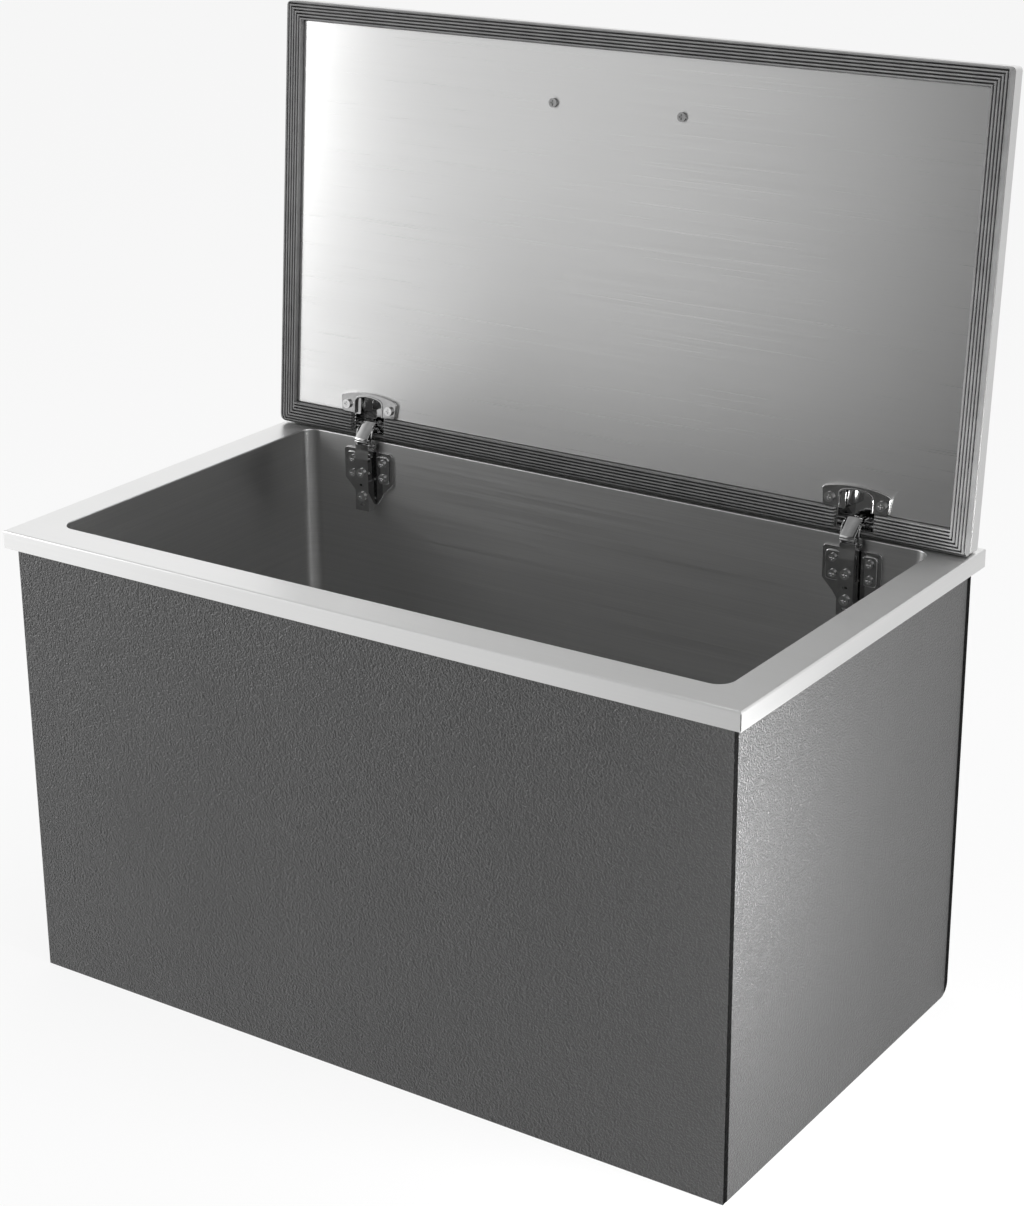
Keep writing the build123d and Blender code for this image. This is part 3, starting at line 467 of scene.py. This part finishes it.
def placed(origin, across, rise):
    """Matrix of a plane from its origin in mm and two axes; the third is their cross product."""
    across, rise = Vector(across), Vector(rise)
    axes = Matrix((across, rise, across.cross(rise))).transposed()
    return Matrix.Translation(Vector(origin) * MM) @ axes.to_4x4()


# Planes that the pieces are drawn on, at rest: the lid's panel, the tub's back wall and a side
BIN_HEIGHT = 411.0
WALL_Y = 170.3
LEAN = math.radians(4.9)
LID_EDGE = (0.0, 166.7, 412.6)
LID_OUT = Vector((0.0, -math.cos(LEAN), math.sin(LEAN)))
LID_PLANE = placed(LID_EDGE, (1.0, 0.0, 0.0), (0.0, math.sin(LEAN), math.cos(LEAN)))
WALL_PLANE = placed((0.0, WALL_Y, BIN_HEIGHT), (1.0, 0.0, 0.0), (0.0, 0.0, 1.0))
SIDE_PLANE = placed((0.0, 0.0, 0.0), (0.0, 1.0, 0.0), (0.0, 0.0, 1.0))
HINGE_X = 251.6
HINGES = (("left", -HINGE_X), ("right", HINGE_X))

# Raised field of the lid's inner panel, inside the seal, notched for the hinge cups
PANEL_DEEP = 8.0
FIELD_RAISE = 3.7
FIELD_HALF_WIDTH = 337.8
FIELD_BOTTOM = 21.8
FIELD_TOP = 375.2
FIELD_CORNER = 3.0
FIELD_SOFT = 0.9
PAN_HALF_WIDTH = 17.5
PAN_TOP = 41.0
PAN_BOTTOM = 4.6
PAN_CORNER = 9.0
PAN_FIT = 0.3
FIELD_DEEP = PANEL_DEEP - FIELD_RAISE
notch = PAN_HALF_WIDTH + PAN_FIT
notch_top = PAN_TOP + PAN_FIT
field_outline = [
    (-FIELD_HALF_WIDTH, FIELD_TOP, FIELD_CORNER),
    (-FIELD_HALF_WIDTH, FIELD_BOTTOM, FIELD_CORNER),
]
for _, centre in HINGES:
    field_outline += [
        (centre - notch, FIELD_BOTTOM, 0.0),
        (centre - notch, notch_top, PAN_CORNER),
        (centre + notch, notch_top, PAN_CORNER),
        (centre + notch, FIELD_BOTTOM, 0.0),
    ]
field_outline += [
    (FIELD_HALF_WIDTH, FIELD_BOTTOM, FIELD_CORNER),
    (FIELD_HALF_WIDTH, FIELD_TOP, FIELD_CORNER),
]
made = bmesh.new()
add_sheet(made, LID_PLANE, [rounded(field_outline)], -PANEL_DEEP, -FIELD_DEEP, FIELD_SOFT)
piece("lid_panel_field", "lid", made, steel_lid)

# Screws of the handle and the hinge cups, seated on the raised field
for name, finish in (("handle_screws", dark_screw), ("hinge_cup_screws", bright_screw)):
    made = bmesh.new()
    made.from_mesh(nodes[name].data)
    bmesh.ops.translate(made, verts=made.verts, vec=LID_OUT * FIELD_RAISE * MM)
    piece(name + "_seated", "lid", made, finish, (name,))

# Hinge cups: screw flange with its lipped mouth, deep pan and the spring's housing
FLANGE_THICK = 3.0
FLANGE_TOP_HALF = 32.0
FLANGE_BOTTOM_HALF = 30.0
FLANGE_BOTTOM = 22.0
FLANGE_SIDE_TOP = 38.2
FLANGE_MIDDLE_TOP = 42.8
FLANGE_CORNER = 3.5
FLANGE_SOFT = 0.6
MOUTH_HALF = 15.0
MOUTH_SIDE_TOP = 35.8
MOUTH_MIDDLE_TOP = 39.0
MOUTH_CORNER = 4.5
LIP_WIDTH = 1.3
LIP_HEIGHT = 0.7
LIP_SOFT = 0.25
PAN_SHEET = 1.0
PAN_DEPTH = 12.5
PAN_ROUND = 16.0
PAN_LOWER_CORNER = 1.0
FLANGE_STEPS = 10
MOUTH_STEPS = 5
SPRING_WIDTH = 6.5
SPRING_BOTTOM = 21.0
SPRING_TOP = 37.0
SPRING_BELOW = 2.0
SPRING_CORNER = 1.6
face_high = FLANGE_THICK - FIELD_DEEP
floor_high = -PANEL_DEEP - PAN_DEPTH


def pan_outline(inset, corner):
    """The pan's outline, open to the lid's edge below, drawn in by an inset."""
    half = PAN_HALF_WIDTH - inset
    return rounded(
        [
            (-half, PAN_BOTTOM + inset, PAN_LOWER_CORNER),
            (half, PAN_BOTTOM + inset, PAN_LOWER_CORNER),
            (half, PAN_TOP - inset, corner - inset),
            (-half, PAN_TOP - inset, corner - inset),
        ]
    )


def mouth_corners(extra):
    """The screw flange's mouth, from its right foot over the arch to its left foot."""
    half = MOUTH_HALF + extra
    side_top, middle_top = MOUTH_SIDE_TOP + extra, MOUTH_MIDDLE_TOP + extra
    top = arch(half, side_top, middle_top, MOUTH_STEPS, MOUTH_CORNER + extra)
    return [(half, FLANGE_BOTTOM, 0.0)] + top + [(-half, FLANGE_BOTTOM, 0.0)]


flange_corners = arch(
    FLANGE_TOP_HALF, FLANGE_SIDE_TOP, FLANGE_MIDDLE_TOP, FLANGE_STEPS, FLANGE_CORNER
)
flange_corners.append((-FLANGE_BOTTOM_HALF, FLANGE_BOTTOM, FLANGE_CORNER))
flange_corners += mouth_corners(0.0)[::-1]
flange_corners.append((FLANGE_BOTTOM_HALF, FLANGE_BOTTOM, FLANGE_CORNER))
lip_corners = mouth_corners(LIP_WIDTH) + mouth_corners(0.0)[::-1]
spring_right = SPRING_WIDTH - PAN_HALF_WIDTH + PAN_SHEET
spring_corners = [
    (PAN_SHEET - PAN_HALF_WIDTH, SPRING_BOTTOM, 0.0),
    (spring_right, SPRING_BOTTOM, SPRING_CORNER),
    (spring_right, SPRING_TOP, SPRING_CORNER),
    (PAN_SHEET - PAN_HALF_WIDTH, SPRING_TOP, 0.0),
]
for side, centre in HINGES:
    at = LID_PLANE @ Matrix.Translation((centre * MM, 0.0, 0.0))
    made = bmesh.new()
    add_sheet(made, at, [rounded(flange_corners)], -FIELD_DEEP, face_high, FLANGE_SOFT)
    lip = rounded(lip_corners)
    add_sheet(made, at, [lip], face_high - LIP_SOFT, face_high + LIP_HEIGHT, LIP_SOFT)
    upper_wall = [pan_outline(0.0, PAN_CORNER), pan_outline(PAN_SHEET, PAN_CORNER)]
    add_sheet(made, at, upper_wall, -PANEL_DEEP, -FIELD_DEEP)
    lower_wall = [pan_outline(0.0, PAN_ROUND), pan_outline(PAN_SHEET, PAN_ROUND)]
    add_sheet(made, at, lower_wall, floor_high, -PANEL_DEEP)
    add_sheet(made, at, [pan_outline(0.0, PAN_ROUND)], floor_high - PAN_SHEET, floor_high)
    housing = rounded(spring_corners)
    add_sheet(made, at, [housing], floor_high, face_high - SPRING_BELOW, LIP_SOFT)
    piece(side + "_hinge_cup_formed", "lid", made, hinge_nickel, (side + "_hinge_cup",))

# Outer links: two side plates under a sloping web whose lower edge is rolled
ARM_PIN = Vector((161.4954, 411.6702))
CUP_PIN = Vector((178.3431, 419.6312))
LINK_HALF = 6.35
LINK_WEB_HALF = 6.9
LINK_SHEET = 1.2
LINK_SOFT = 0.2
LINK_FOLD = 1.6
ROLL_RADIUS = 0.9
WEB_SPLIT_SHARE = 0.88
ROLL_STEP = 30
web_roll = ARM_PIN + Vector((-3.7, 0.2))
web_low = ARM_PIN + Vector((-3.3, 2.9))
web_high = CUP_PIN + Vector((-4.3, 9.2))
web_end = CUP_PIN + Vector((0.6, 3.2))
web_split = web_low.lerp(web_high, WEB_SPLIT_SHARE)
# Corners of the side plates round each pin: across and up from the pin, and the radius
ROUND_CUP_PIN = (
    (2.1, 0.3, 0.5),
    (1.3, -2.0, 1.0),
    (-1.5, -1.9, 1.0),
    (-2.1, 0.6, 0.3),
    (-3.3, 2.3, 1.0),
)
ROUND_ARM_PIN = (
    (9.8, 11.7, 2.0),
    (4.1, 7.4, 2.0),
    (2.1, 0.6, 1.0),
    (1.3, -2.0, 1.0),
    (-1.5, -1.9, 1.0),
)
side_corners = [
    (*web_roll, 0.3),
    (*web_low, LINK_FOLD),
    (*web_high, LINK_FOLD),
    (*web_end, 0.5),
]
for pin, corners in ((CUP_PIN, ROUND_CUP_PIN), (ARM_PIN, ROUND_ARM_PIN)):
    for across, rise, radius in corners:
        side_corners.append((pin.x + across, pin.y + rise, radius))
side_outline = rounded(side_corners)
lower_web = band([web_roll, web_low, web_split], LINK_SHEET, LINK_FOLD)
upper_web = band([web_split, web_high, web_end], LINK_SHEET, LINK_FOLD)
roll = []
for degrees in range(0, 360, ROLL_STEP):
    angle = math.radians(degrees)
    across, rise = ROLL_RADIUS * math.cos(angle), ROLL_RADIUS * math.sin(angle)
    roll.append((web_roll.x + across, web_roll.y + rise))
for side, centre in HINGES:
    made = bmesh.new()
    for low in (centre - LINK_HALF, centre + LINK_HALF - LINK_SHEET):
        add_sheet(made, SIDE_PLANE, [side_outline], low, low + LINK_SHEET, LINK_SOFT)
    low, high = centre - LINK_WEB_HALF, centre + LINK_WEB_HALF
    add_sheet(made, SIDE_PLANE, [lower_web], low, high, LINK_SOFT)
    add_sheet(made, SIDE_PLANE, [roll], low, high, LINK_SOFT)
    low, high = centre - LINK_HALF, centre + LINK_HALF
    add_sheet(made, SIDE_PLANE, [upper_web], low, high, LINK_SOFT)
    link = side + "_outer_link"
    piece(link + "_formed", link, made, hinge_nickel, (link,))

# Front webs of the arms above their bend
ARM_HALF = 7.5
ARM_WEB_Y = 158.7
ARM_WEB_SHEET = 1.0
ARM_WEB_LOW = 8.0
ARM_WEB_HIGH = 2.6
arm_web_middle = ARM_WEB_Y + ARM_WEB_SHEET / 2.0
arm_web_line = [(arm_web_middle, BIN_HEIGHT - drop) for drop in (ARM_WEB_LOW, ARM_WEB_HIGH)]
arm_web = band(arm_web_line, ARM_WEB_SHEET, 0.0)
for side, centre in HINGES:
    made = bmesh.new()
    low, high = centre - ARM_HALF, centre + ARM_HALF
    add_sheet(made, SIDE_PLANE, [arm_web], low, high, LINK_SOFT)
    piece(side + "_arm_web", "bin", made, hinge_nickel)

# Mounting plates with rounded wings and bevelled screw pads
PLATE_THICK = 2.0
PLATE_CORNER = 3.5
PLATE_SOFT = 0.35
PAD_REACH = 17.0
PAD_WIDTH = 14.0
PAD_TOP = -13.5
PAD_BOTTOM = -40.0
PAD_THICK = 1.5
PAD_SOFT = 0.7
# The plate's right half, down from its top corner: across, and up from the bin's top
PLATE_HALF = [(27.5, -10.0), (27.5, -40.0), (17.5, -50.0), (9.5, -62.0)]
plate_corners = [(u, v, PLATE_CORNER) for u, v in PLATE_HALF]
plate_corners += [(-u, v, PLATE_CORNER) for u, v in PLATE_HALF[::-1]]
for side, centre in HINGES:
    at = WALL_PLANE @ Matrix.Translation((centre * MM, 0.0, 0.0))
    made = bmesh.new()
    add_sheet(made, at, [rounded(plate_corners)], 0.0, PLATE_THICK, PLATE_SOFT)
    for middle in (-PAD_REACH, PAD_REACH):
        left, right = middle - PAD_WIDTH / 2.0, middle + PAD_WIDTH / 2.0
        pad_corners = [(left, PAD_TOP), (right, PAD_TOP), (right, PAD_BOTTOM), (left, PAD_BOTTOM)]
        pad = rounded([(u, v, PLATE_CORNER) for u, v in pad_corners])
        low, high = PLATE_THICK - PAD_SOFT, PLATE_THICK + PAD_THICK
        add_sheet(made, at, [pad], low, high, PAD_SOFT)
    piece(side + "_hinge_plate_formed", "bin", made, hinge_nickel, (side + "_hinge_plate",))

# Sealant that fills the case's open vertical corners and laps over both sheets' edges. It is
# near-black and almost without gloss, darker than real sealant: part real sealant, part painted
# shade that stands for the shadowed corner gaps.
CASE_SIDE = 346.6
CASE_FACES = ((-195.9, 1.0), (196.1, -1.0))
CASE_BEND = 12.0
BEND_STEPS = 6
SEALANT_START = 0.1
SEALANT_WIDTH = 5.9
SEALANT_OVER = 0.4
SEALANT_UNDER = 0.9
SEALANT_SOFT = 0.3
SEALANT_FOOT = 0.6
SEALANT_TOP = 409.5
right_strip = (CASE_SIDE - SEALANT_UNDER, CASE_SIDE + SEALANT_OVER)
left_strip = (-CASE_SIDE - SEALANT_OVER, -CASE_SIDE + SEALANT_UNDER)
made = bmesh.new()
for low, high in (right_strip, left_strip):
    for face, inward in CASE_FACES:
        near, far = face + inward * SEALANT_START, face + inward * SEALANT_WIDTH
        foot = [(near, SEALANT_FOOT), (far, SEALANT_FOOT)]
        if inward < 0.0:
            # The case's back lower edge is bent, and the strip's foot follows the bend
            centre, radius = face - CASE_BEND, CASE_BEND - SEALANT_FOOT
            last = math.acos((far - centre) / radius)
            foot = []
            for step in range(BEND_STEPS + 1):
                angle = last * step / BEND_STEPS
                across, drop = radius * math.cos(angle), radius * math.sin(angle)
                foot.append((centre + across, CASE_BEND - drop))
        strip = foot + [(far, SEALANT_TOP), (near, SEALANT_TOP)]
        add_sheet(made, SIDE_PLANE, [strip], low, high, SEALANT_SOFT)
piece("corner_sealant_painted_shade", "bin", made, sealant_and_painted_shade)

# Floor: a camera ray meets it nearly white, keeping the object's shadow. A glossy ray passes
# through it, so that metal reflects the surround.
FLOOR_HALF = 12.0
FLOOR_DROP = 0.0004
FLOOR_GREY = (0.88, 0.88, 0.88)
FLOOR_ROUGHNESS = 0.8
FLOOR_GLOSS = 0.2
CAMERA_WHITE_SHARE = 0.86
WHITE = (1.0, 1.0, 1.0)
floor_white = Material("floor_white")
floor_white.put("Base Color", FLOOR_GREY)
floor_white.put("Roughness", FLOOR_ROUGHNESS)
floor_white.put("Specular IOR Level", FLOOR_GLOSS)
path = floor_white.nodes.new("ShaderNodeLightPath")
glow = floor_white.add("ShaderNodeEmission", Color=WHITE)
share = floor_white.maths("MULTIPLY", path.outputs["Is Camera Ray"], CAMERA_WHITE_SHARE)
shaded = floor_white.blend(share, floor_white.shader.outputs[0], glow.outputs[0])
clear = floor_white.nodes.new("ShaderNodeBsdfTransparent")
shaded = floor_white.blend(path.outputs["Is Glossy Ray"], shaded, clear.outputs[0])
floor_white.link(shaded, floor_white.output.inputs["Surface"])
floor_mesh = bpy.data.meshes.new("floor")
floor_corners = [
    (across * FLOOR_HALF, along * FLOOR_HALF, -FLOOR_DROP)
    for across, along in ((-1, -1), (1, -1), (1, 1), (-1, 1))
]
floor_mesh.from_pydata(floor_corners, [], [(0, 1, 2, 3)])
floor_mesh.materials.append(floor_white.material)
floor = bpy.data.objects.new("floor", floor_mesh)
scene.collection.objects.link(floor)
floor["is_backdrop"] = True

# Studio surround: pale all round, with a darker stretch in front. The camera sees white.
# Each pair is an azimuth in degrees, from the front towards the left, and the radiance there.
SURROUND = (
    (-180.0, 0.95),
    (-150.0, 0.62),
    (-120.0, 0.80),
    (-75.0, 0.85),
    (-40.0, 0.45),
    (-15.0, 0.20),
    (21.0, 0.08),
    (24.5, 0.20),
    (28.0, 0.71),
    (31.0, 0.83),
    (36.0, 0.65),
    (39.5, 0.80),
    (46.0, 1.00),
    (62.0, 1.35),
    (90.0, 1.10),
    (180.0, 0.95),
)
SURROUND_PEAK = 1.5
# The surround darkens overhead, between two sines of the height above the horizon.
OVERHEAD_START = 0.55
OVERHEAD_FULL = 0.78
OVERHEAD_SHARE = 0.3
world = bpy.data.worlds.new("studio")
scene.world = world
world.use_nodes = True
sky = Tree(world.node_tree)
out = sky.nodes.new("ShaderNodeOutputWorld")
direction = sky.nodes.new("ShaderNodeTexCoord").outputs["Generated"]
split = sky.add("ShaderNodeSeparateXYZ", Vector=direction)
leftward = sky.maths("MULTIPLY", split.outputs["X"], -1.0)
forward = sky.maths("MULTIPLY", split.outputs["Y"], -1.0)
azimuth = sky.maths("ARCTAN2", leftward, forward)
ramp = sky.add("ShaderNodeValToRGB", Fac=sky.remap(azimuth, -math.pi, math.pi, 0.0, 1.0))
stops = ramp.color_ramp.elements
while len(stops) < len(SURROUND):
    stops.new(0.5)
for stop, (degrees, radiance) in zip(stops, SURROUND):
    stop.position = degrees / 360.0 + 0.5
for stop, (degrees, radiance) in zip(stops, SURROUND):
    stop.color = (radiance / SURROUND_PEAK,) * 3 + (OPAQUE,)
overhead = sky.nodes.new("ShaderNodeMapRange")
overhead.interpolation_type = "SMOOTHSTEP"
for socket_name, value in (
    ("Value", split.outputs["Z"]),
    ("From Min", OVERHEAD_START),
    ("From Max", OVERHEAD_FULL),
    ("To Min", SURROUND_PEAK),
    ("To Max", SURROUND_PEAK * OVERHEAD_SHARE),
):
    sky.fill(overhead.inputs[socket_name], value)
light = sky.add("ShaderNodeBackground", Strength=overhead.outputs[0], Color=ramp.outputs[0])
seen = sky.add("ShaderNodeBackground", Strength=1.0, Color=WHITE)
is_camera = sky.nodes.new("ShaderNodeLightPath").outputs["Is Camera Ray"]
sky.link(sky.blend(is_camera, light.outputs[0], seen.outputs[0]), out.inputs["Surface"])


def area_light(name, place, target, size, power):
    """Rectangular lamp at a place, aimed at a target and hidden from the camera."""
    data = bpy.data.lights.new(name, "AREA")
    data.shape = "RECTANGLE"
    data.size, data.size_y = size
    data.energy = power
    made = bpy.data.objects.new(name, data)
    scene.collection.objects.link(made)
    made.location = place
    aim = Vector(target) - Vector(place)
    made.rotation_euler = aim.to_track_quat("-Z", "Y").to_euler()
    made.visible_camera = False


area_light(
    "right_softbox", (0.64, -0.2, 0.27), target=(0.33, -0.17, 0.27), size=(0.25, 0.3), power=5.8
)
area_light(
    "left_softbox", (-1.5, -0.75, 0.7), target=(-0.1, -0.15, 0.25), size=(0.7, 0.9), power=6.0
)
area_light(
    "top_softbox", (0.5, 0.35, 2.6), target=(0.0, -0.05, 0.3), size=(2.4, 2.0), power=24.0
)

scene.view_settings.view_transform = "Standard"

low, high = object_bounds()
